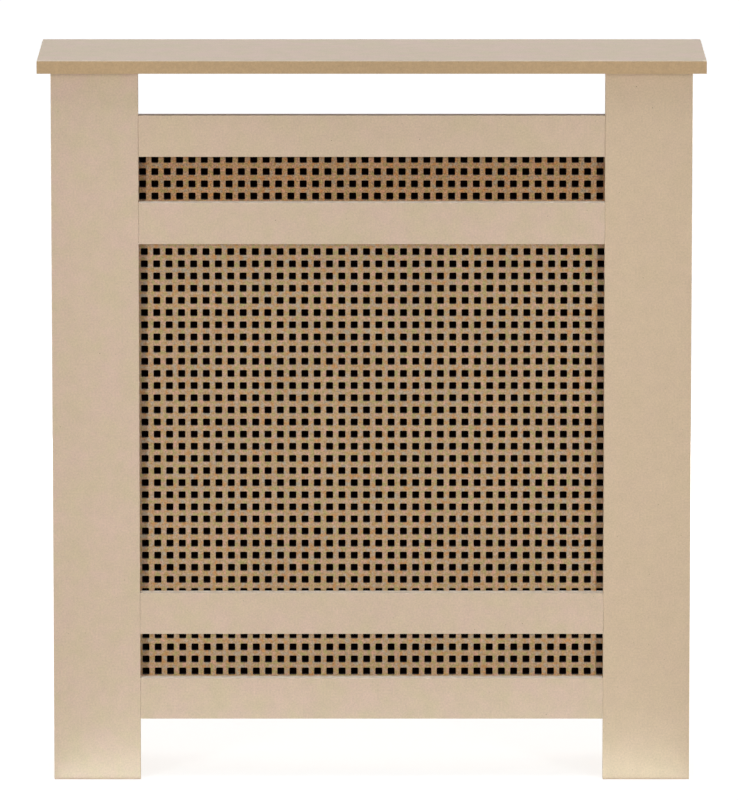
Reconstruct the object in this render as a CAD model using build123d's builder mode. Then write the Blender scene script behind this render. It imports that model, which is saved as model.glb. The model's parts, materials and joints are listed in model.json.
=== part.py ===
from build123d import *
from math import ceil, sqrt
import os

os.makedirs("parts", exist_ok=True)

# A radiator cover cabinet in raw MDF, in millimetres. X runs along the wall, +Y points at the wall
# and Z is up. The origin lies on the floor, under the middle of the shelf.

# ---------------------------------------------------------------- driving dimensions
shelf_width = 750.0
shelf_depth = 190.0
overall_height = 824.0
board = 15.0  # thickness of every board

shelf_overhang = 15.0  # past the frame, at the front and at both ends
shelf_arris = 1.0  # rounding along the shelf's upper front and end edges

stile_width = 98.0
rail_height = 47.0
foot_gap = 70.0  # floor to bottom rail
lower_window = 51.0  # bottom rail to lower rail
upper_window = 52.0  # upper rail to top rail
air_gap = 49.0  # top rail to shelf

skirting_depth = 20.0  # notch in each side panel for the skirting board
skirting_height = 130.0

grille_thickness = 3.0
grille_pitch = 13.9
grille_hole = 7.3  # side of a square hole
main_grille_lap = 20.0  # least cover behind the frame, above and below the main window
strip_grille_lap = 15.0  # the same at the two narrow windows and at the stiles

# Where each sheet's hole pattern sits against the middle of its window, along X and Z.
upper_grille_shift = (-0.5, 0.3)
main_grille_shift = (1.1, 1.1)
lower_grille_shift = (1.2, 0.6)

dowel_radius = 4.0
dowel_length = 30.0
dowel_in_face = 10.0  # depth into the flat of a board, with the rest in an edge
dowel_fit = 0.05  # radial clearance of a dowel in its hole
hole_end_gap = 0.5  # room left past the end of a dowel, bolt or screw
dowel_chamfer = 0.8
rail_dowel_spacing = 23.0
stile_dowel_inset = 50.0  # end of a stile to its outer dowels

cam_radius = 7.45
cam_length = 12.0
cam_fit = 0.05  # radial running clearance of a cam in its bore
cam_sink = 0.2  # cam's face below the panel's face
cam_setback = 24.0  # joint face to cam axis
cam_slot_play = 0.3  # bolt's neck to the sides of the cam's slot
cam_mouth_play = 0.3  # bolt's ball to the cam's mouth
cam_recess_length = 7.0
cam_recess_width = 1.5
cam_recess_depth = 1.5
cam_arrow = 1.6
cam_arrow_depth = 0.4
stile_cam_inset = 190.0  # end of a stile to its cams
shelf_cam_inset = 45.0  # front or back edge of a side panel to its shelf cams

bolt_in_face = 11.0  # threaded end, in the flat of a board
bolt_thread_radius = 3.0
bolt_thread_depth = 0.6
bolt_thread_pitch = 1.8
bolt_thread_fit = 0.05
bolt_shank_radius = 3.5
bolt_hole_play = 0.5  # shank to the hole along the side panel
bolt_shank_end_gap = 0.5  # shank to cam
bolt_neck_radius = 1.9
bolt_ball_radius = 3.2
bolt_ball_play = 0.1  # ball to the cam's chamber

bracket_leg = 30.0
bracket_width = 20.0
bracket_thickness = 2.0
bracket_bend = 1.5  # inside radius
bracket_corner = 4.0
bracket_drop = 50.0  # shelf to the bracket's middle
bracket_wall_hole_radius = 2.5
bracket_wall_hole_inset = 10.0  # end of the wall leg to its hole
bracket_screw_inset = 7.0  # end of the panel leg to its first screw
bracket_screw_spacing = 11.0

screw_radius = 1.75
screw_fit = 0.05
screw_length = 12.0
screw_tip = 3.0
screw_head_radius = 3.4
screw_head_height = 2.2
screw_head_round = 1.2
screw_bracket_play = 0.25
screw_recess_length = 3.6
screw_recess_width = 0.9
screw_recess_depth = 1.0

staple_wire_width = 1.2
staple_wire_thickness = 0.8
staple_reach = 5.3  # middle of a staple to the middle of each leg
staple_leg = 9.0  # back of the grille to the end of a leg
staple_step = 7  # webs of the grille from one staple to the next

# ---------------------------------------------------------------- places that follow from them
frame_width = shelf_width - 2 * shelf_overhang
frame_height = overall_height - board
window_width = frame_width - 2 * stile_width

front_y = -shelf_depth / 2 + shelf_overhang
frame_back_y = front_y + board
board_mid_y = front_y + board / 2
grille_back_y = frame_back_y + grille_thickness
wall_y = shelf_depth / 2

stile_mid_x = (frame_width - stile_width) / 2
panel_inner_x = frame_width / 2 - board
panel_mid_x = frame_width / 2 - board / 2

# Undersides of the four rails, upwards.
bottom_rail_z = foot_gap
lower_rail_z = bottom_rail_z + rail_height + lower_window
top_rail_z = frame_height - air_gap - rail_height
upper_rail_z = top_rail_z - upper_window - rail_height
rails = {
    "bottom_rail": bottom_rail_z,
    "lower_rail": lower_rail_z,
    "upper_rail": upper_rail_z,
    "top_rail": top_rail_z,
}
rail_dowel_heights = [
    underside + (rail_height + way * rail_dowel_spacing) / 2
    for underside in rails.values()
    for way in (-1, 1)
]

# Extruding from these planes, a positive amount goes towards the room and a negative one to the wall.
frame_back = Plane.XZ.offset(-frame_back_y)
grille_back = Plane.XZ.offset(-grille_back_y)
under_shelf = Plane.XY.offset(frame_height)

sides = {"left": -1, "right": 1}

dowel_hole_radius = dowel_radius + dowel_fit
dowel_in_edge = dowel_length - dowel_in_face
stile_dowel_heights = (stile_dowel_inset, frame_height / 2, frame_height - stile_dowel_inset)
shelf_dowel_y = (frame_back_y + wall_y) / 2

stile_cam_heights = (stile_cam_inset, frame_height - stile_cam_inset)
shelf_cam_ys = (frame_back_y + shelf_cam_inset, wall_y - shelf_cam_inset)
stile_cam_y = frame_back_y + cam_setback
shelf_cam_z = frame_height - cam_setback
cam_bore_radius = cam_radius + cam_fit
cam_bore_depth = cam_sink + cam_length + hole_end_gap / 2

# Each cam's place in the Y-Z plane, and the direction from it to the joint that it pulls shut.
cams = {
    "stile_lower_cam": ((stile_cam_y, stile_cam_heights[0]), (0, -1, 0)),
    "stile_upper_cam": ((stile_cam_y, stile_cam_heights[1]), (0, -1, 0)),
    "shelf_front_cam": ((shelf_cam_ys[0], shelf_cam_z), (0, 0, 1)),
    "shelf_rear_cam": ((shelf_cam_ys[1], shelf_cam_z), (0, 0, 1)),
}

bracket_z = frame_height - bracket_drop
bracket_screw_ys = [
    wall_y - bracket_leg + bracket_screw_inset + step * bracket_screw_spacing for step in (0, 1)
]
screw_in_panel = screw_length - bracket_thickness


# ---------------------------------------------------------------- grille pattern and its staples
def count_holes(span, lap):
    """Holes in a row that cover a span and at least the lap past each end of it."""
    return ceil((span + 2 * lap) / grille_pitch)


def lay_out(underside, height, lap, shift):
    """A sheet behind one window: its middle, and its numbers of columns and rows."""
    middle = (shift[0], underside + height / 2 + shift[1])
    return middle, count_holes(window_width, strip_grille_lap), count_holes(height, lap)


lower_window_z = bottom_rail_z + rail_height
main_window_z = lower_rail_z + rail_height
upper_window_z = upper_rail_z + rail_height
grilles = {
    "lower_grille": lay_out(lower_window_z, lower_window, strip_grille_lap, lower_grille_shift),
    "main_grille": lay_out(
        main_window_z, upper_rail_z - main_window_z, main_grille_lap, main_grille_shift
    ),
    "upper_grille": lay_out(upper_window_z, upper_window, strip_grille_lap, upper_grille_shift),
}


def hole_line(middle, count, index):
    """Where hole number index of a row or column lies, and the web after it for index + 0.5."""
    return middle + (index - (count - 1) / 2) * grille_pitch


def stapled_webs(count):
    """Webs that take a staple: the middle one, and every staple_step webs from it."""
    return [web + 0.5 for web in range((count - 2) // 2 % staple_step, count - 1, staple_step)]


def place_staples():
    """Each staple's middle, and whether it stands upright, along the four edges of each sheet."""
    spots = []
    for (middle_x, middle_z), columns, rows in grilles.values():
        for web in stapled_webs(columns):
            for row in (0, rows - 1):
                x = hole_line(middle_x, columns, web)
                spots.append((x, hole_line(middle_z, rows, row), False))
        for web in stapled_webs(rows):
            for column in (0, columns - 1):
                x = hole_line(middle_x, columns, column)
                spots.append((x, hole_line(middle_z, rows, web), True))
    return spots


staples = place_staples()


def draw_staple_legs(chosen):
    """Both legs of each staple, in the sketch that is open."""
    for x, z, upright in chosen:
        aside, above = (0, staple_reach) if upright else (staple_reach, 0)
        wire = (staple_wire_thickness, staple_wire_width)
        with Locations((x - aside, z - above), (x + aside, z + above)):
            Rectangle(*(wire[::-1] if upright else wire))


def draw_staple_crowns(chosen):
    """The bar that joins each staple's legs, in the sketch that is open."""
    for x, z, upright in chosen:
        bar = (2 * staple_reach + staple_wire_thickness, staple_wire_width)
        with Locations((x, z)):
            Rectangle(*(bar[::-1] if upright else bar))


def perforated_face(columns, rows):
    """One flat face around the origin, made with its square holes already in it."""
    outline = Wire.make_rect(columns * grille_pitch, rows * grille_pitch)
    square = Wire.make_rect(grille_hole, grille_hole)
    grid = GridLocations(grille_pitch, grille_pitch, columns, rows)
    return Face(outline, [square.moved(spot) for spot in grid])


def save(piece, name):
    """Label a finished piece and write it to its own file."""
    piece.part.label = name
    export_step(piece.part, f"parts/{name}.step", write_pcurves=False)


# ---------------------------------------------------------------- shelf
# One board that lies on the stiles and side panels, flush with the wall at the back. Its underside
# takes the four shelf bolts and four dowels.
shelf_dowels = [(side * stile_mid_x, board_mid_y) for side in sides.values()]
shelf_dowels += [(side * panel_mid_x, shelf_dowel_y) for side in sides.values()]

with BuildPart() as top_shelf:
    with BuildSketch(under_shelf):
        Rectangle(shelf_width, shelf_depth)
    extrude(amount=board)
    room_edges = top_shelf.edges().group_by(Axis.Z)[-1].sort_by(Axis.Y)[:-1]
    fillet(room_edges, radius=shelf_arris)
    with BuildSketch(under_shelf):
        with Locations(*shelf_dowels):
            Circle(dowel_hole_radius)
    extrude(amount=dowel_in_face + hole_end_gap, mode=Mode.SUBTRACT)
    with BuildSketch(under_shelf):
        with Locations(*[(side * panel_mid_x, y) for side in sides.values() for y in shelf_cam_ys]):
            Circle(bolt_thread_radius + bolt_thread_fit)
    extrude(amount=bolt_in_face + hole_end_gap, mode=Mode.SUBTRACT)
save(top_shelf, "top_shelf")

# ---------------------------------------------------------------- stiles
# The two upright boards of the front frame. They run to the floor as legs.
for side_name, side in sides.items():
    with BuildPart() as stile:
        with BuildSketch(frame_back):
            with Locations((side * stile_mid_x, frame_height / 2)):
                Rectangle(stile_width, frame_height)
        extrude(amount=board)
        with BuildSketch(Plane.YZ.offset(side * window_width / 2)):
            with Locations(*[(board_mid_y, z) for z in rail_dowel_heights]):
                Circle(dowel_hole_radius)
        extrude(amount=side * (dowel_length / 2 + hole_end_gap), mode=Mode.SUBTRACT)
        with BuildSketch(frame_back):
            with Locations(*[(side * panel_mid_x, z) for z in stile_dowel_heights]):
                Circle(dowel_hole_radius)
        extrude(amount=dowel_in_face + hole_end_gap, mode=Mode.SUBTRACT)
        with BuildSketch(frame_back):
            with Locations(*[(side * panel_mid_x, z) for z in stile_cam_heights]):
                Circle(bolt_thread_radius + bolt_thread_fit)
        extrude(amount=bolt_in_face + hole_end_gap, mode=Mode.SUBTRACT)
        with BuildSketch(under_shelf):
            with Locations((side * stile_mid_x, board_mid_y)):
                Circle(dowel_hole_radius)
        extrude(amount=-(dowel_in_edge + hole_end_gap), mode=Mode.SUBTRACT)
        with BuildSketch(frame_back):
            draw_staple_legs([spot for spot in staples if spot[2] and spot[0] * side > 0])
        extrude(amount=staple_leg - grille_thickness, mode=Mode.SUBTRACT)
    save(stile, f"{side_name}_stile")

# ---------------------------------------------------------------- rails
# Four equal boards butted between the stiles, with two dowels in each end.
for rail_name, underside in rails.items():
    middle_z = underside + rail_height / 2
    with BuildPart() as rail:
        with BuildSketch(frame_back):
            with Locations((0, middle_z)):
                Rectangle(window_width, rail_height)
        extrude(amount=board)
        for side in sides.values():
            with BuildSketch(Plane.YZ.offset(side * window_width / 2)):
                with Locations((board_mid_y, middle_z)):
                    with GridLocations(1, rail_dowel_spacing, 1, 2):
                        Circle(dowel_hole_radius)
            extrude(amount=-side * (dowel_length / 2 + hole_end_gap), mode=Mode.SUBTRACT)
        mine = [spot for spot in staples if not spot[2] and abs(spot[1] - middle_z) < rail_height / 2]
        with BuildSketch(frame_back):
            draw_staple_legs(mine)
        extrude(amount=staple_leg - grille_thickness, mode=Mode.SUBTRACT)
    save(rail, rail_name)

# ---------------------------------------------------------------- side panels
# Boards that run back from the stiles to the wall, notched at the foot for the skirting board, with
# the cam bores in their inner faces and the bolt and dowel holes in their front and upper edges.
for side_name, side in sides.items():
    inner_face = Plane.YZ.offset(side * panel_inner_x)
    with BuildPart() as side_panel:
        with BuildSketch(inner_face):
            with BuildLine():
                Polyline(
                    (frame_back_y, 0),
                    (wall_y - skirting_depth, 0),
                    (wall_y - skirting_depth, skirting_height),
                    (wall_y, skirting_height),
                    (wall_y, frame_height),
                    (frame_back_y, frame_height),
                    close=True,
                )
            make_face()
        extrude(amount=side * board)
        with BuildSketch(inner_face):
            with Locations(*[spot for spot, to_joint in cams.values()]):
                Circle(cam_bore_radius)
        extrude(amount=side * cam_bore_depth, mode=Mode.SUBTRACT)
        with BuildSketch(frame_back):
            with Locations(*[(side * panel_mid_x, z) for z in stile_cam_heights]):
                Circle(bolt_shank_radius + bolt_hole_play)
        extrude(amount=-cam_setback, mode=Mode.SUBTRACT)
        with BuildSketch(under_shelf):
            with Locations(*[(side * panel_mid_x, y) for y in shelf_cam_ys]):
                Circle(bolt_shank_radius + bolt_hole_play)
        extrude(amount=-cam_setback, mode=Mode.SUBTRACT)
        with BuildSketch(frame_back):
            with Locations(*[(side * panel_mid_x, z) for z in stile_dowel_heights]):
                Circle(dowel_hole_radius)
        extrude(amount=-(dowel_in_edge + hole_end_gap), mode=Mode.SUBTRACT)
        with BuildSketch(under_shelf):
            with Locations((side * panel_mid_x, shelf_dowel_y)):
                Circle(dowel_hole_radius)
        extrude(amount=-(dowel_in_edge + hole_end_gap), mode=Mode.SUBTRACT)
        with BuildSketch(inner_face):
            with Locations(*[(y, bracket_z) for y in bracket_screw_ys]):
                Circle(screw_radius + screw_fit)
        extrude(amount=side * (screw_in_panel + hole_end_gap), mode=Mode.SUBTRACT)
    save(side_panel, f"{side_name}_side_panel")

# ---------------------------------------------------------------- grilles
# Three sheets of perforated hardboard, flat against the back of the frame.
for grille_name, (middle, columns, rows) in grilles.items():
    sheet_face = perforated_face(columns, rows)
    with BuildPart() as grille:
        with BuildSketch(frame_back):
            with Locations(middle):
                add(sheet_face)
        extrude(amount=-grille_thickness)
    save(grille, grille_name)

# Each staple spans one web of a sheet. Its legs pass through the holes beside the web and end in the
# board behind.
with BuildPart() as grille_staples:
    with BuildSketch(grille_back):
        draw_staple_legs(staples)
    extrude(amount=staple_leg)
    with BuildSketch(grille_back):
        draw_staple_crowns(staples)
    extrude(amount=-staple_wire_thickness)
save(grille_staples, "grille_staples")

# ---------------------------------------------------------------- dowels
# One beech dowel, along Z around the origin, and then its copies.
with BuildPart() as dowel:
    Cylinder(dowel_radius, dowel_length)
    chamfer(dowel.edges().filter_by(GeomType.CIRCLE), length=dowel_chamfer)

with BuildPart() as rail_dowels:
    for side in sides.values():
        for z in rail_dowel_heights:
            spot = (side * window_width / 2, board_mid_y, z)
            with Locations(Plane(origin=spot, z_dir=(1, 0, 0))):
                add(dowel.part)
save(rail_dowels, "rail_dowels")

# How far the middle of a dowel lies past the joint, on the side of the edge that it enters.
dowel_offset = dowel_in_edge - dowel_length / 2

with BuildPart() as carcass_dowels:
    for side in sides.values():
        for z in stile_dowel_heights:
            spot = (side * panel_mid_x, frame_back_y + dowel_offset, z)
            with Locations(Plane(origin=spot, z_dir=(0, 1, 0))):
                add(dowel.part)
    for x, y in shelf_dowels:
        with Locations((x, y, frame_height - dowel_offset)):
            add(dowel.part)
save(carcass_dowels, "carcass_dowels")

# ---------------------------------------------------------------- cam bolts
# One bolt, with its shoulder on the joint at Z = 0, its threaded end below and its ball above. The
# thread is drawn as rings.
shank_top = cam_setback - cam_radius - bolt_shank_end_gap
neck_step = bolt_shank_radius - bolt_neck_radius
ball_foot = cam_setback - sqrt(bolt_ball_radius**2 - bolt_neck_radius**2)
root_radius = bolt_thread_radius - bolt_thread_depth
ring_count = int(bolt_in_face / bolt_thread_pitch)
rings = []
for ring in range(ring_count):
    foot = -bolt_in_face + ring * bolt_thread_pitch
    rings += [(root_radius, foot), (bolt_thread_radius, foot + bolt_thread_pitch / 2)]

with BuildPart() as cam_bolt:
    with BuildSketch(Plane.XZ):
        with BuildLine():
            Polyline(
                (0, cam_setback + bolt_ball_radius),
                (0, -bolt_in_face),
                *rings,
                (root_radius, -bolt_in_face + ring_count * bolt_thread_pitch),
                (root_radius, 0),
                (bolt_shank_radius, 0),
                (bolt_shank_radius, shank_top - neck_step),
                (bolt_neck_radius, shank_top),
                (bolt_neck_radius, ball_foot),
            )
            ThreePointArc(
                (bolt_neck_radius, ball_foot),
                (bolt_ball_radius, cam_setback),
                (0, cam_setback + bolt_ball_radius),
            )
        make_face()
    revolve(axis=Axis.Z)

with BuildPart() as cam_bolts:
    for side in sides.values():
        for z in stile_cam_heights:
            foot = (side * panel_mid_x, frame_back_y, z)
            with Locations(Plane(origin=foot, z_dir=(0, 1, 0))):
                add(cam_bolt.part)
        for y in shelf_cam_ys:
            foot = (side * panel_mid_x, y, frame_height)
            with Locations(Plane(origin=foot, z_dir=(0, 0, -1))):
                add(cam_bolt.part)
save(cam_bolts, "cam_bolts")

# ---------------------------------------------------------------- cams
# Die-cast discs, drawn locked. Inside is a round chamber that holds the bolt's ball, a slot over half
# a turn that the bolt's neck runs in, and a mouth opposite the bolt, through which the ball leaves
# when the cam has turned half round. In each cam's plane X points at its joint and Z into the cabinet.
chamber_radius = bolt_ball_radius + bolt_ball_play
slot_reach = bolt_neck_radius + cam_slot_play
mouth_radius = bolt_ball_radius + cam_mouth_play

for side_name, side in sides.items():
    for cam_name, (spot, to_joint) in cams.items():
        place = Plane(
            origin=(side * panel_inner_x, *spot), x_dir=to_joint, z_dir=(-side, 0, 0)
        )
        cam_face = place.offset(-cam_sink)
        away = Plane(
            origin=place.from_local_coords((0, 0, -board / 2)), z_dir=[-part for part in to_joint]
        )
        with BuildPart() as cam:
            with BuildSketch(cam_face):
                Circle(cam_radius)
            extrude(amount=-cam_length)
            with BuildSketch(place.offset(-board / 2 + chamber_radius)):
                Circle(chamber_radius)
            extrude(amount=-2 * chamber_radius, mode=Mode.SUBTRACT)
            with BuildSketch(place.offset(-board / 2 + slot_reach)):
                with Locations((0, slot_reach)):
                    Rectangle(3 * cam_radius, 2 * cam_radius, align=(Align.CENTER, Align.MAX))
            extrude(amount=-2 * slot_reach, mode=Mode.SUBTRACT)
            with BuildSketch(away):
                Circle(mouth_radius)
            extrude(amount=cam_radius, mode=Mode.SUBTRACT)
            with BuildSketch(cam_face):
                Rectangle(cam_recess_length, cam_recess_width)
                Rectangle(cam_recess_width, cam_recess_length)
            extrude(amount=-cam_recess_depth, mode=Mode.SUBTRACT)
            with BuildSketch(cam_face):
                with Locations(((cam_radius + cam_recess_length / 2) / 2, 0)):
                    RegularPolygon(cam_arrow, 3)
            extrude(amount=-cam_arrow_depth, mode=Mode.SUBTRACT)
        save(cam, f"{side_name}_{cam_name}")

# ---------------------------------------------------------------- wall brackets
# Bent steel angles in the upper back corners, with one leg screwed to the side panel and the other
# flat against the wall, with one hole for a wall screw.
for side_name, side in sides.items():
    corner_x = side * panel_inner_x
    with BuildPart() as bracket:
        with BuildSketch(Plane.XY.offset(bracket_z - bracket_width / 2)):
            with BuildLine():
                Polyline(
                    (corner_x, wall_y - bracket_leg),
                    (corner_x, wall_y),
                    (corner_x - side * bracket_leg, wall_y),
                    (corner_x - side * bracket_leg, wall_y - bracket_thickness),
                    (corner_x - side * bracket_thickness, wall_y - bracket_thickness),
                    (corner_x - side * bracket_thickness, wall_y - bracket_leg),
                    close=True,
                )
            make_face()
        extrude(amount=bracket_width)
        upright = bracket.edges().filter_by(Axis.Z).sort_by_distance((corner_x, wall_y, bracket_z))
        fillet(upright[0], radius=bracket_bend + bracket_thickness)
        inner_corner = (
            corner_x - side * bracket_thickness,
            wall_y - bracket_thickness,
            bracket_z,
        )
        fillet(
            bracket.edges().filter_by(Axis.Z).sort_by_distance(inner_corner)[0],
            radius=bracket_bend,
        )
        fillet(bracket.edges().filter_by(Axis.X).group_by(Axis.Y)[0], radius=bracket_corner)
        leg_end = (corner_x - side * bracket_leg, wall_y, bracket_z)
        fillet(
            bracket.edges().filter_by(Axis.Y).sort_by_distance(leg_end)[:2],
            radius=bracket_corner,
        )
        with BuildSketch(Plane.YZ.offset(corner_x)):
            with Locations(*[(y, bracket_z) for y in bracket_screw_ys]):
                Circle(screw_radius + screw_bracket_play)
        extrude(amount=-side * bracket_thickness, mode=Mode.SUBTRACT)
        with BuildSketch(Plane.XZ.offset(-wall_y)):
            with Locations((corner_x - side * (bracket_leg - bracket_wall_hole_inset), bracket_z)):
                Circle(bracket_wall_hole_radius)
        extrude(amount=bracket_thickness, mode=Mode.SUBTRACT)
    save(bracket, f"{side_name}_wall_bracket")

# One pan-head screw, with the underside of its head at Z = 0, and then its copies.
with BuildPart() as screw:
    with BuildSketch(Plane.XZ):
        with BuildLine():
            Polyline(
                (0, screw_head_height),
                (0, -screw_length),
                (screw_radius, -screw_length + screw_tip),
                (screw_radius, 0),
                (screw_head_radius, 0),
                (screw_head_radius, screw_head_height),
                close=True,
            )
        make_face()
    revolve(axis=Axis.Z)
    fillet(screw.edges().group_by(Axis.Z)[-1], radius=screw_head_round)
    with BuildSketch(Plane.XY.offset(screw_head_height)):
        Rectangle(screw_recess_length, screw_recess_width)
        Rectangle(screw_recess_width, screw_recess_length)
    extrude(amount=-screw_recess_depth, mode=Mode.SUBTRACT)

with BuildPart() as bracket_screws:
    for side in sides.values():
        for y in bracket_screw_ys:
            seat = (side * (panel_inner_x - bracket_thickness), y, bracket_z)
            with Locations(Plane(origin=seat, z_dir=(-side, 0, 0))):
                add(screw.part)
save(bracket_screws, "bracket_screws")
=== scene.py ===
import json
from math import cos, pi, radians, sin

import bmesh
import bpy
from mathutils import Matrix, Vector


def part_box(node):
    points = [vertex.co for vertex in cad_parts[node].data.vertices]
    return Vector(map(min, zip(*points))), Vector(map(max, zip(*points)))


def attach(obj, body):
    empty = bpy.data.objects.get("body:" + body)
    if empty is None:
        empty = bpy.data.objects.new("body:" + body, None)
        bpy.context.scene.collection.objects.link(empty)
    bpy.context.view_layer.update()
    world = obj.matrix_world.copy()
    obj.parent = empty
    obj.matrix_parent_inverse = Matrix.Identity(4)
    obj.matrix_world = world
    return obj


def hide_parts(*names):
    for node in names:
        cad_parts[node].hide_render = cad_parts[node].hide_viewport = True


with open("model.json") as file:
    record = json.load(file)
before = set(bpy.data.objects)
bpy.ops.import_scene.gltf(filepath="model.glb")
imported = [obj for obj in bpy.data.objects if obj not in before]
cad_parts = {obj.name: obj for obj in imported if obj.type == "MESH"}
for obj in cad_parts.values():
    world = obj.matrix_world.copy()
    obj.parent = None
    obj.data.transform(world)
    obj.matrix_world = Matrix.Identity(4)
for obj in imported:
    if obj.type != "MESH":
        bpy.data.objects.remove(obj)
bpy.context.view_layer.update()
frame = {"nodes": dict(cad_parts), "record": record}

# ---------------------------------------------------------------- side panels
# Two boards of raw medium density fibreboard, cut on a panel saw, that run back from the legs to the
# wall. Each is notched at the foot for the skirting board and bored on its inner face for the cams.
mm = 0.001


def linear(code):
    """A colour written as an sRGB hex value, in linear light."""
    shares = [int(code[at : at + 2], 16) / 255 for at in (1, 3, 5)]
    return [s / 12.92 if s <= 0.04045 else ((s + 0.055) / 1.055) ** 2.4 for s in shares] + [1.0]


def add(owner, kind, inputs=None, **settings):
    """Add a node with its settings. Each input takes a value, or the node or socket that feeds it."""
    tree = owner.node_tree
    node = tree.nodes.new("ShaderNode" + kind)
    for name, value in settings.items():
        setattr(node, name, value)
    for key, value in (inputs or {}).items():
        usable = [socket for socket in node.inputs if socket.enabled]
        target = node.inputs[key] if isinstance(key, int) else [s for s in usable if s.name == key][0]
        if isinstance(value, bpy.types.Node):
            value = [socket for socket in value.outputs if socket.enabled][0]
        if isinstance(value, bpy.types.NodeSocket):
            tree.links.new(value, target)
        else:
            target.default_value = value
    return node


def blank(owner):
    """A material or a world, with its nodes turned on and cleared."""
    owner.use_nodes = True
    owner.node_tree.nodes.clear()
    return owner


def start_material(name):
    """An empty material, and the place on the object in millimetres."""
    material = blank(bpy.data.materials.new(name))
    place = add(material, "TexCoord").outputs["Object"]
    return material, add(material, "VectorMath", {"Vector": place, "Scale": 1 / mm}, operation="SCALE")


def close_material(material, surface):
    """The principled shader, with its inputs, as the material's surface."""
    shader = add(material, "BsdfPrincipled", surface)
    add(material, "OutputMaterial", {"Surface": shader})
    return material


# Raw MDF: felted wood fibre, pressed and then sanded on its faces. It gives a matt tan that drifts a
# little between pink and green, a fine speckle, and stray flecks of bark, most of them faint. Sawn edges
# show the core, which is browner, and denser close to both faces. The loose fibres leave a faint fuzz.
# Fibres, flecks and fuzz are drawn coarser than they are, so that they show.
def raw_mdf():
    board, place = start_material("raw_mdf")
    cloud_size, patch_size, fibre_size, fuzz_size = 40.0, 12.0, 2.0, 0.5  # millimetres
    speck_spacing, speck_radius, faintness = 9.0, 0.6, 4.0
    clouds = add(
        board,
        "TexNoise",
        {"Vector": place, "Scale": 1 / cloud_size, "Detail": 3.0, "Roughness": 0.75},
    )
    patches = add(board, "TexNoise", {"Vector": place, "Scale": 1 / patch_size, "Detail": 2.0})
    fibres = add(
        board,
        "TexNoise",
        {"Vector": place, "Scale": 1 / fibre_size, "Detail": 3.0, "Roughness": 0.65},
    )
    pink = linear("#D2B8A4")
    green = linear("#CCB99B")
    drift = add(board, "MapRange", {"Value": clouds, "From Min": 0.36, "From Max": 0.64})
    face = add(board, "Mix", {"Factor": drift, "A": pink, "B": green}, data_type="RGBA")
    even = add(board, "Attribute", attribute_name="even").outputs["Fac"]
    tan = linear("#CEB799")
    face = add(board, "Mix", {"Factor": even, "A": face, "B": tan}, data_type="RGBA")
    tint = add(board, "MapRange", {"Value": patches, "To Min": 0.94, "To Max": 1.06})
    grain = add(board, "MapRange", {"Value": fibres, "To Min": 0.75, "To Max": 1.25})
    tone = add(board, "Math", {0: tint, 1: grain}, operation="MULTIPLY")
    sawn = add(board, "Attribute", attribute_name="sawn").outputs["Fac"]
    across = add(board, "Attribute", attribute_name="across").outputs["Fac"]
    dense = add(board, "MapRange", {"Value": across, "From Min": 0.6, "From Max": 0.9})
    core = linear("#CCAD83")
    skin = linear("#BDA07A")
    edge = add(board, "Mix", {"Factor": dense, "A": core, "B": skin}, data_type="RGBA")
    colour = add(board, "Mix", {"Factor": sawn, "A": face, "B": edge}, data_type="RGBA")
    # Painted highlight: edges marked this way are painted pale, for the light that the lower rails' top
    # ledges and the shelf's arris catch.
    painted_highlight = add(board, "Attribute", attribute_name="painted_highlight").outputs["Fac"]
    highlight_colour = linear("#F0E6D6")
    colour = add(board, "Mix", {"Factor": painted_highlight, "A": colour, "B": highlight_colour}, data_type="RGBA")
    # Painted shade: the top rail's level edges are painted dark, for the shadow under the shelf.
    painted_ledge_shade = add(board, "Attribute", attribute_name="painted_ledge_shade").outputs["Fac"]
    ledge_shade_colour = linear("#5E4A38")
    colour = add(board, "Mix", {"Factor": painted_ledge_shade, "A": colour, "B": ledge_shade_colour}, data_type="RGBA")
    colour = add(board, "VectorMath", {"Vector": colour, "Scale": tone}, operation="SCALE")
    near = add(board, "TexVoronoi", {"Vector": place, "Scale": 1 / speck_spacing})
    chance = add(board, "SeparateColor", {"Color": near.outputs["Color"]})
    darkness = add(board, "Math", {0: chance, 1: faintness}, operation="POWER")
    speck = add(
        board,
        "MapRange",
        {
            "Value": near.outputs["Distance"],
            "From Min": 0.6 * speck_radius / speck_spacing,
            "From Max": speck_radius / speck_spacing,
            "To Min": darkness,
            "To Max": 0.0,
        },
    )
    dark_fibre = linear("#6F5A45")
    colour = add(board, "Mix", {"Factor": speck, "A": colour, "B": dark_fibre}, data_type="RGBA")
    fuzz = add(board, "TexNoise", {"Vector": place, "Scale": 1 / fuzz_size, "Detail": 2.0})
    bump = add(board, "Bump", {"Height": fuzz, "Strength": 0.35, "Distance": 0.06 * mm})
    surface = {"Base Color": colour, "Roughness": 0.55, "IOR": 1.5, "Normal": bump}
    return close_material(board, surface)


mdf = raw_mdf()
body_of_node = {
    node: body for body, nodes in frame["record"]["behaviour"]["bodies"].items() for node in nodes
}


def put_in_scene(name, data):
    """An object that holds the data."""
    made = bpy.data.objects.new(name, data)
    bpy.context.scene.collection.objects.link(made)
    return made


def coat(piece, material):
    """Give a piece this material, and no other."""
    piece.data.materials.clear()
    piece.data.materials.append(material)


def stand_in(piece, node, material):
    """Give a finished piece its material, and put it in the place of the node that it is made for."""
    coat(piece, material)
    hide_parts(node)
    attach(piece, body_of_node[node])
    return piece


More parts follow.
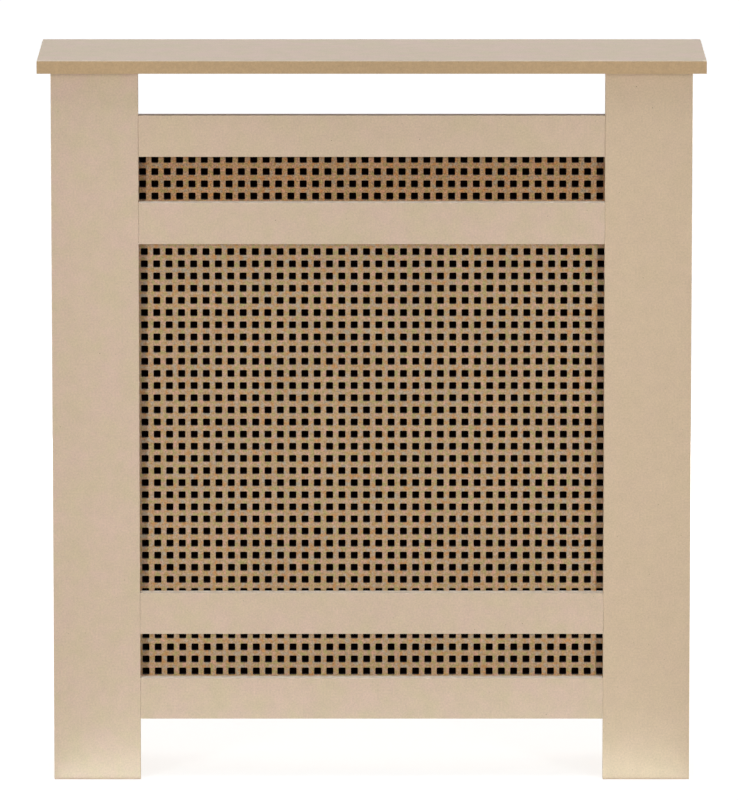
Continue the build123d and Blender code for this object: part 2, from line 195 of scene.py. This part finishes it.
def finish_node(node, material, arris, shortest=0.0):
    """The node's own shape, with whole faces and with an arris along its sharp edges.

    Only the curved faces and the arrises are shaded smooth. Edges up to the shortest stay sharp."""
    same_point = 0.001 * mm
    same_plane, sharp_bend, smooth_bend = radians(0.5), radians(50), radians(32)
    along_an_axis = 0.9999
    mesh = bmesh.new()
    mesh.from_mesh(frame["nodes"][node].data)
    bmesh.ops.remove_doubles(mesh, verts=mesh.verts, dist=same_point)
    bmesh.ops.dissolve_limit(mesh, angle_limit=same_plane, verts=mesh.verts, edges=mesh.edges)
    sharp = [
        edge
        for edge in mesh.edges
        if edge.is_manifold and edge.calc_face_angle() > sharp_bend and edge.calc_length() > shortest
    ]
    bmesh.ops.bevel(
        mesh,
        geom=sharp,
        offset=arris,
        segments=2,
        profile=0.5,
        affect="EDGES",
        clamp_overlap=True,
    )
    made = bpy.data.meshes.new("finished_" + node)
    mesh.to_mesh(made)
    mesh.free()
    made.shade_smooth()
    made.set_sharp_from_angle(angle=smooth_bend)
    square_on = [max(abs(share) for share in face.normal) > along_an_axis for face in made.polygons]
    made.polygons.foreach_set("use_smooth", [not flat for flat in square_on])
    return stand_in(put_in_scene("finished_" + node, made), node, material)


board_arris = 0.4 * mm
bore_facet = 12 * mm  # the edges round bores are shorter than this, and stay sharp


def finish_board(node, arris=board_arris, brown=0.0, pale=0.0, dark=0.0, tan=0.0):
    """A board with its edges marked as sawn, as painted highlight (pale) or as painted shade (dark), and
    how far across each point lies.

    Only level edges get the painted shade. Boards of another batch are tan, and more even."""
    piece = finish_node(node, mdf, arris, shortest=bore_facet)
    low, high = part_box(node)
    spans = high - low
    axis = list(spans).index(min(spans))
    middle, half = (low + high)[axis] / 2, spans[axis] / 2
    data = piece.data
    across = data.attributes.new("across", "FLOAT", "POINT")
    across.data.foreach_set("value", [abs(v.co[axis] - middle) / half for v in data.vertices])
    on_edge = [abs(face.normal[axis]) < 0.5 for face in data.polygons]
    level = [abs(face.normal.z) > 0.5 for face in data.polygons]
    for name, amount, where in (
        ("sawn", brown, on_edge),
        ("painted_highlight", pale, on_edge),
        ("painted_ledge_shade", dark, [edge and flat for edge, flat in zip(on_edge, level)]),
    ):
        marks = data.attributes.new(name, "FLOAT", "FACE")
        marks.data.foreach_set("value", [amount * marked for marked in where])
    even = data.attributes.new("even", "FLOAT", "FACE")
    even.data.foreach_set("value", [tan] * len(data.polygons))
    return piece


for side in ("left", "right"):
    finish_board(f"{side}_side_panel", brown=1.0)

# ---------------------------------------------------------------- front frame
# Two full-height stiles, which are also the legs, and four rails doweled and glued between them. The
# three lower rails' edges are painted pale, a painted highlight for the light their top ledges catch,
# and the top rail's level edges are painted dark, a painted shade for the shadow under the shelf. Each
# edge has a small arris, which leaves a fine V with a hairline in it at every joint.
hairline = 0.1 * mm
end_zone = 2 * board_arris
finish_board("left_stile", brown=0.15)
finish_board("right_stile", brown=0.15, tan=0.7)
painted_highlight = {"pale": 1.0}
for rail, look in (
    # The top rail's dark level edges are painted shade, for the shadow under the shelf.
    ("top_rail", {"dark": 0.8, "tan": 0.3}),
    ("upper_rail", painted_highlight),
    ("lower_rail", painted_highlight),
    ("bottom_rail", painted_highlight),
):
    piece = finish_board(rail, **look)
    low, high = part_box(rail)
    for point in piece.data.vertices:
        if point.co.x < low.x + end_zone:
            point.co.x += hairline
        if point.co.x > high.x - end_zone:
            point.co.x -= hairline

# ---------------------------------------------------------------- shelf
# One board of the same MDF, laid on top. Its front and ends are left as sawn, and its upper arris is
# rounded with sandpaper and painted pale along it, a painted highlight.
arris_highlight = 0.5
shelf = finish_board("top_shelf", arris=1.0 * mm, brown=1.0)
on_arris = [0.1 < face.normal.z < 0.99 for face in shelf.data.polygons]
shelf.data.attributes["painted_highlight"].data.foreach_set("value", [arris_highlight * marked for marked in on_arris])

# ---------------------------------------------------------------- grilles
# Three sheets of tempered hardboard, punched in rows with square holes whose corners are a little
# round. They lie flat against the back of the frame.
pitch = 13.9 * mm
hole = 7.3 * mm
hole_corner = 0.8 * mm
face_rim = 0.4 * mm  # how far the punch drew the sheet in round each hole
back_rim = 0.15 * mm
flat_on = 0.9  # share of a face's normal along Y


def square_ring(half, radius, y):
    """Twelve points round a square with rounded corners, anticlockwise from the lower left."""
    points = []
    for turn in range(4):
        towards = radians(225 + 90 * turn)
        reach = (half - radius) * 2**0.5
        for swing in (-45, 0, 45):
            angle = towards + radians(swing)
            x = reach * cos(towards) + radius * cos(angle)
            z = reach * sin(towards) + radius * sin(angle)
            points.append((x, y, z))
    return points


def punched_sheet(node, material):
    """A sheet made cell by cell, so that every hole has its own rim and walls."""
    low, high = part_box(node)
    columns = round((high.x - low.x) / pitch)
    rows = round((high.z - low.z) / pitch)
    points, faces = [], []
    for y in (low.y, high.y):
        for row in range(rows + 1):
            for column in range(columns + 1):
                points.append((low.x + column * pitch, y, low.z + row * pitch))
    layer = (rows + 1) * (columns + 1)
    rings = [
        square_ring(hole / 2 + face_rim, hole_corner + face_rim, low.y),
        square_ring(hole / 2, hole_corner, low.y + face_rim),
        square_ring(hole / 2, hole_corner, high.y - back_rim),
        square_ring(hole / 2 + back_rim, hole_corner + back_rim, high.y),
    ]
    size = len(rings[0])
    for row in range(rows):
        for column in range(columns):
            x = low.x + (column + 0.5) * pitch
            z = low.z + (row + 0.5) * pitch
            start = len(points)
            for ring in rings:
                points += [(x + at[0], at[1], z + at[2]) for at in ring]
            corner = row * (columns + 1) + column
            corners = (corner, corner + 1, corner + columns + 2, corner + columns + 1)
            last = start + (len(rings) - 1) * size
            for turn in range(4):
                a, b = corners[turn], corners[(turn + 1) % 4]
                inner = [(3 * turn + step) % size for step in (4, 3, 2, 1)]
                faces.append((a, b, *[start + at for at in inner]))
                faces.append((b + layer, a + layer, *[last + at for at in reversed(inner)]))
            for depth in range(len(rings) - 1):
                for at in range(size):
                    here = start + depth * size
                    after = (at + 1) % size
                    faces.append((here + at, here + after, here + size + after, here + size + at))
    rim = list(range(columns + 1))
    rim += [row * (columns + 1) + columns for row in range(1, rows + 1)]
    rim += [rows * (columns + 1) + column for column in range(columns - 1, -1, -1)]
    rim += [row * (columns + 1) for row in range(rows - 1, 0, -1)]
    for at, here in enumerate(rim):
        after = rim[(at + 1) % len(rim)]
        faces.append((after, here, here + layer, after + layer))
    data = bpy.data.meshes.new("punched_" + node)
    data.from_pydata(points, [], faces)
    data.update()
    back = data.attributes.new("back", "FLOAT", "FACE")
    back.data.foreach_set("value", [1.0 * (face.normal.y > flat_on) for face in data.polygons])
    cut = data.attributes.new("cut", "FLOAT", "FACE")
    cut.data.foreach_set("value", [1.0 * (abs(face.normal.y) < flat_on) for face in data.polygons])
    return stand_in(put_in_scene("punched_" + node, data), node, material)


# Tempered hardboard: wood pulp pressed hot against a polished plate, which leaves a smooth face that
# is mottled with orange, grey, pink and olive browns, and against a wire screen, which leaves its weave
# in the back. The rims and walls of the holes are painted near-black, as painted shade in the holes. The
# upper sheet's material is darker than the other two, as painted shade from the rail and shelf above
# it. The pulp is drawn coarser than it is, so that it shows.
def pressed_hardboard(name, orange, grey, pink, olive, coarse):
    sheet, place = start_material(name)
    mottle_size, hue_size, blotch_size, pulp_size, screen_pitch = 5.0, 7.0, 40.0, 1.8, 2.2
    elsewhere = (500.0, 0.0, 300.0)  # millimetres, so that the hues don't follow the mottle
    mottle = add(sheet, "TexNoise", {"Vector": place, "Scale": 1 / mottle_size, "Detail": 2.0})
    aside = add(sheet, "VectorMath", {0: place, 1: elsewhere}, operation="ADD")
    hues = add(sheet, "TexNoise", {"Vector": aside, "Scale": 1 / hue_size, "Detail": 2.0})
    blotches = add(sheet, "TexNoise", {"Vector": place, "Scale": 1 / blotch_size, "Detail": 1.0})
    pulp = add(sheet, "TexNoise", {"Vector": place, "Scale": 1 / pulp_size, "Detail": 2.0})
    share = add(sheet, "MapRange", {"Value": mottle, "From Min": 0.4, "From Max": 0.6})
    warm = add(
        sheet,
        "Mix",
        {"Factor": share, "A": linear(orange), "B": linear(grey)},
        data_type="RGBA",
    )
    cool = add(
        sheet,
        "Mix",
        {"Factor": share, "A": linear(olive), "B": linear(pink)},
        data_type="RGBA",
    )
    swap = add(sheet, "MapRange", {"Value": hues, "From Min": 0.42, "From Max": 0.58})
    colour = add(sheet, "Mix", {"Factor": swap, "A": warm, "B": cool}, data_type="RGBA")
    broad = add(sheet, "MapRange", {"Value": blotches, "To Min": 0.9, "To Max": 1.1})
    fine = add(sheet, "MapRange", {"Value": pulp, "To Min": 1 - coarse, "To Max": 1 + coarse})
    tone = add(sheet, "Math", {0: broad, 1: fine}, operation="MULTIPLY")
    colour = add(sheet, "VectorMath", {"Vector": colour, "Scale": tone}, operation="SCALE")
    # Painted shade: the rims and walls of the holes are painted near-black.
    cut = add(sheet, "Attribute", attribute_name="cut").outputs["Fac"]
    hole_shade = linear("#22160E")
    colour = add(sheet, "Mix", {"Factor": cut, "A": colour, "B": hole_shade}, data_type="RGBA")
    back = add(sheet, "Attribute", attribute_name="back").outputs["Fac"]
    turn = add(sheet, "VectorMath", {0: place, 1: (2 * pi / screen_pitch,) * 3}, operation="MULTIPLY")
    axes = add(sheet, "SeparateXYZ", {"Vector": turn})
    waves = [add(sheet, "Math", {0: axes.outputs[axis]}, operation="SINE") for axis in ("X", "Z")]
    weave = add(sheet, "Math", {0: waves[0], 1: waves[1]}, operation="MULTIPLY")
    pressed = add(sheet, "Math", {0: weave, 1: back}, operation="MULTIPLY")
    height = add(sheet, "Math", {0: pressed, 1: 0.5, 2: pulp}, operation="MULTIPLY_ADD")
    bump = add(sheet, "Bump", {"Height": height, "Strength": 0.6, "Distance": 0.15 * mm})
    torn = add(sheet, "MapRange", {"Value": cut, "To Min": 0.5, "To Max": 1.0})
    surface = {"Base Color": colour, "Roughness": torn, "IOR": 1.5, "Normal": bump}
    return close_material(sheet, surface)


pale_board = pressed_hardboard("tempered_hardboard", "#B48351", "#A49781", "#BD927A", "#9F935E", 0.7)
# Painted shade: the upper sheet's darker board stands for the shadow of the rail and the shelf above it.
shaded_board = pressed_hardboard("shaded_hardboard", "#AC7542", "#96846A", "#B18060", "#917E4A", 1.2)
punched_sheet("upper_grille", shaded_board)
punched_sheet("main_grille", pale_board)
punched_sheet("lower_grille", pale_board)

# ---------------------------------------------------------------- staples
# Galvanised wire, bent square in the staple gun, that pins the sheets to the backs of the frame boards.
# The legs go through the sheet into the wood, and only the crown shows.


# Zinc, galvanised or plated on steel, or cast: a bluish grey metal with a cloudy bloom and fine pits,
# which are drawn coarser than they are, so that they show.
def zinc_coated(name, pale, dark, roughness):
    metal, place = start_material(name)
    bloom_size, pit_size, haze_spread = 2.5, 0.4, 0.08
    bloom = add(metal, "TexNoise", {"Vector": place, "Scale": 1 / bloom_size, "Detail": 3.0})
    share = add(metal, "MapRange", {"Value": bloom, "From Min": 0.35, "From Max": 0.65})
    colour = add(
        metal,
        "Mix",
        {"Factor": share, "A": linear(pale), "B": linear(dark)},
        data_type="RGBA",
    )
    haze = add(
        metal,
        "MapRange",
        {"Value": bloom, "To Min": roughness - haze_spread, "To Max": roughness + haze_spread},
    )
    pits = add(metal, "TexNoise", {"Vector": place, "Scale": 1 / pit_size, "Detail": 2.0})
    bump = add(metal, "Bump", {"Height": pits, "Strength": 0.3, "Distance": 0.03 * mm})
    surface = {"Base Color": colour, "Metallic": 1.0, "Roughness": haze, "Normal": bump}
    return close_material(metal, surface)


galvanised_wire = zinc_coated("galvanised_wire", "#B9BBBD", "#9C9EA1", roughness=0.42)
finish_node("grille_staples", galvanised_wire, arris=0.25 * mm)

# ---------------------------------------------------------------- dowels
# Round pins, glued into both boards at every joint. They are hidden once the cabinet is together.
# There are two at each end of every rail, and ten more round the side panels.


# Beech: a pale, even hardwood with small darker flecks, turned and left raw.
def turned_beech():
    wood, place = start_material("turned_beech")
    fleck_size = 1.5
    fleck = add(wood, "TexNoise", {"Vector": place, "Scale": 1 / fleck_size, "Detail": 3.0})
    colour = add(
        wood,
        "Mix",
        {"Factor": fleck, "A": linear("#D9B48C"), "B": linear("#BC9065")},
        data_type="RGBA",
    )
    bump = add(wood, "Bump", {"Height": fleck, "Strength": 0.4, "Distance": 0.1 * mm})
    surface = {"Base Color": colour, "Roughness": 0.55, "IOR": 1.5, "Normal": bump}
    return close_material(wood, surface)


beech = turned_beech()
for dowels in ("rail_dowels", "carcass_dowels"):
    coat(frame["nodes"][dowels], beech)

# ---------------------------------------------------------------- cams and their bolts
# Flat-pack fittings: steel bolts, zinc plated, screwed into the legs and the shelf, and die-cast zinc
# cams in the side panels that hold the bolts' heads. Each cam turns half round in its bore.
plated_steel = zinc_coated("zinc_plated_steel", "#C2C4C7", "#A7AAAF", roughness=0.3)
cast_zinc = zinc_coated("die_cast_zinc", "#B4B5B8", "#94969A", roughness=0.48)
coat(frame["nodes"]["cam_bolts"], plated_steel)
for side in ("left", "right"):
    for cam in ("stile_lower", "stile_upper", "shelf_front", "shelf_rear"):
        finish_node(f"{side}_{cam}_cam", cast_zinc, arris=0.2 * mm)

# ---------------------------------------------------------------- wall brackets
# Steel angles, pressed from strip and zinc plated, in the upper back corners. Two pan-head screws hold
# each to its side panel, and one wall screw goes through the other leg.
for bracket in ("left_wall_bracket", "right_wall_bracket"):
    finish_node(bracket, plated_steel, arris=0.25 * mm)
finish_node("bracket_screws", plated_steel, arris=0.12 * mm)

# ---------------------------------------------------------------- dark behind the grilles
# In a room the space behind a grille is dark. Three near-black cards stand there as painted shade, a
# little smaller than the sheets and just behind them. They are part of the setting. Only the camera
# sees them, and only from the front, so that light and the view from behind pass them.
card_gap = 3.0 * mm
card_inset = 6.0 * mm


def shade_card():
    card = blank(bpy.data.materials.new("shade_card"))
    seen = add(card, "LightPath").outputs["Is Camera Ray"]
    behind = add(card, "NewGeometry").outputs["Backfacing"]
    shown = add(card, "Math", {0: seen, 1: behind}, operation="SUBTRACT", use_clamp=True)
    clear = add(card, "BsdfTransparent")
    black = add(card, "BsdfDiffuse", {"Color": linear("#0A0403")})
    surface = add(card, "MixShader", {0: shown, 1: clear, 2: black})
    add(card, "OutputMaterial", {"Surface": surface})
    return card


shade_card_material = shade_card()
for grille in ("upper_grille", "main_grille", "lower_grille"):
    low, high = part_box(grille)
    y = high.y + card_gap
    left, right = low.x + card_inset, high.x - card_inset
    foot, head = low.z + card_inset, high.z - card_inset
    corners = [(left, y, foot), (right, y, foot), (right, y, head), (left, y, head)]
    data = bpy.data.meshes.new("card_behind_" + grille)
    data.from_pydata(corners, [], [(0, 1, 2, 3)])
    data.materials.append(shade_card_material)
    put_in_scene("card_behind_" + grille, data)

# ---------------------------------------------------------------- floor
# A wide white floor. The camera and anything shiny see it at full white, with the shadow kept, and
# everything else is lit by it as by any pale matt floor. Its glow is weaker round the object, where the
# lamps reach it, and where the shadow falls.
floor_half = 20.0


def directly_seen(owner):
    """One for the camera's rays, also by way of gloss or through something clear, and else nought."""
    path = add(owner, "LightPath")
    seen = add(
        owner,
        "Math",
        {0: path.outputs["Is Camera Ray"], 1: path.outputs["Is Glossy Ray"]},
        operation="MAXIMUM",
    )
    return add(owner, "Math", {0: seen, 1: path.outputs["Is Transmission Ray"]}, operation="MAXIMUM")


def white_floor():
    floor = blank(bpy.data.materials.new("white_floor"))
    shadow_share, glow_near, glow_far = 0.6, 0.64, 0.85
    near, far = 0.6, 1.4  # metres from the middle of the object
    matt = add(floor, "BsdfDiffuse", {"Color": linear("#E8E8E8")})
    shaded = add(floor, "BsdfDiffuse", {"Color": (shadow_share, shadow_share, shadow_share, 1.0)})
    place = add(floor, "TexCoord").outputs["Object"]
    away = add(floor, "VectorMath", {0: place}, operation="LENGTH")
    reach = {"Value": away, "From Min": near, "From Max": far, "To Min": glow_near, "To Max": glow_far}
    glow = add(floor, "Emission", {"Strength": add(floor, "MapRange", reach)})
    bright = add(floor, "AddShader", {0: shaded, 1: glow})
    shown = add(floor, "MixShader", {0: directly_seen(floor), 1: matt, 2: bright})
    add(floor, "OutputMaterial", {"Surface": shown})
    return floor


data = bpy.data.meshes.new("floor")
corners = [(-1, -1), (1, -1), (1, 1), (-1, 1)]
data.from_pydata([(floor_half * x, floor_half * y, 0.0) for x, y in corners], [], [(0, 1, 2, 3)])
data.materials.append(white_floor())
put_in_scene("floor", data)

# ---------------------------------------------------------------- light
# A white studio: a dim surround, and on each side a narrow softbox, gridded to light its own half, and
# a wide one past the end. One, slightly cool, hangs overhead, two make the backdrop, and a cool strip
# lies before the legs. Gloss misses the narrow ones and the low backdrop, which would glare in it.
surround = blank(bpy.data.worlds.new("studio"))
seen = directly_seen(surround)
level = add(surround, "MapRange", {"Value": seen, "To Min": 0.3, "To Max": 1.0})
sky = add(surround, "Background", {"Color": (1.0, 1.0, 1.0, 1.0), "Strength": level})
add(surround, "OutputWorld", {"Surface": sky})
bpy.context.scene.world = surround


def softbox(name, place, aim, width, height, watts, spread=180, tint="#FFFFFF", glint=True):
    """A rectangular lamp that faces a point and isn't seen itself. Without glint, gloss misses it too."""
    light = bpy.data.lights.new(name, "AREA")
    light.color = linear(tint)[:3]
    light.shape = "RECTANGLE"
    light.size = width
    light.size_y = height
    light.energy = watts
    light.spread = radians(spread)
    holder = put_in_scene(name, light)
    holder.location = place
    facing = Vector(aim) - Vector(place)
    holder.rotation_euler = facing.to_track_quat("-Z", "Y").to_euler()
    holder.visible_camera = False
    holder.visible_glossy = glint


for side in (-1, 1):
    softbox(
        "front_softbox",
        place=(side * 1.0, -1.35, 0.67),
        aim=(side * 0.27, -0.08, 0.45),
        width=0.12,
        height=1.3,
        watts=1.21,
        spread=44,
        glint=False,
    )
    softbox(
        "end_softbox",
        place=(side * 2.5, 0.5, 1.0),
        aim=(side * 0.36, 0.0, 0.5),
        width=1.0,
        height=1.2,
        watts=16.0,
    )
softbox(
    "overhead_softbox",
    place=(0.0, -0.9, 3.4),
    aim=(0.0, -0.05, 0.6),
    width=1.6,
    height=1.0,
    watts=19.5,
    tint="#F5F7FF",
)
softbox(
    "high_backdrop",
    place=(0.0, 2.2, 1.15),
    aim=(0.0, 0.0, 0.8),
    width=3.0,
    height=0.7,
    watts=9.0,
)
softbox(
    "low_backdrop",
    place=(0.0, 2.2, 0.4),
    aim=(0.0, 0.0, 0.4),
    width=3.0,
    height=0.75,
    watts=22.0,
    glint=False,
)
softbox(
    "floor_strip",
    place=(0.0, -0.1145, 0.0005),
    aim=(0.0, -0.1145, 1.0),
    width=0.72,
    height=0.065,
    watts=0.18,
    tint="#DDF6FF",
)

# ---------------------------------------------------------------- camera
# A long lens, tilted down onto the object from the height that shows the shelf's top at a low angle.
# It is shifted only a little, because the other views are taken with the same lens.
tilt = 9.08
camera_data = bpy.data.cameras.new("camera")
camera_data.sensor_width = 36.0
camera_data.lens = 401.6
camera_data.shift_x = -0.0021
camera_data.shift_y = -0.09
camera_data.clip_end = 100.0
camera = put_in_scene("camera", camera_data)
camera.location = (0.0, -10.0, 2.104)
camera.rotation_euler = (radians(90 - tilt), 0.0, 0.0)
bpy.context.scene.camera = camera
bpy.context.scene.view_settings.view_transform = "Standard"
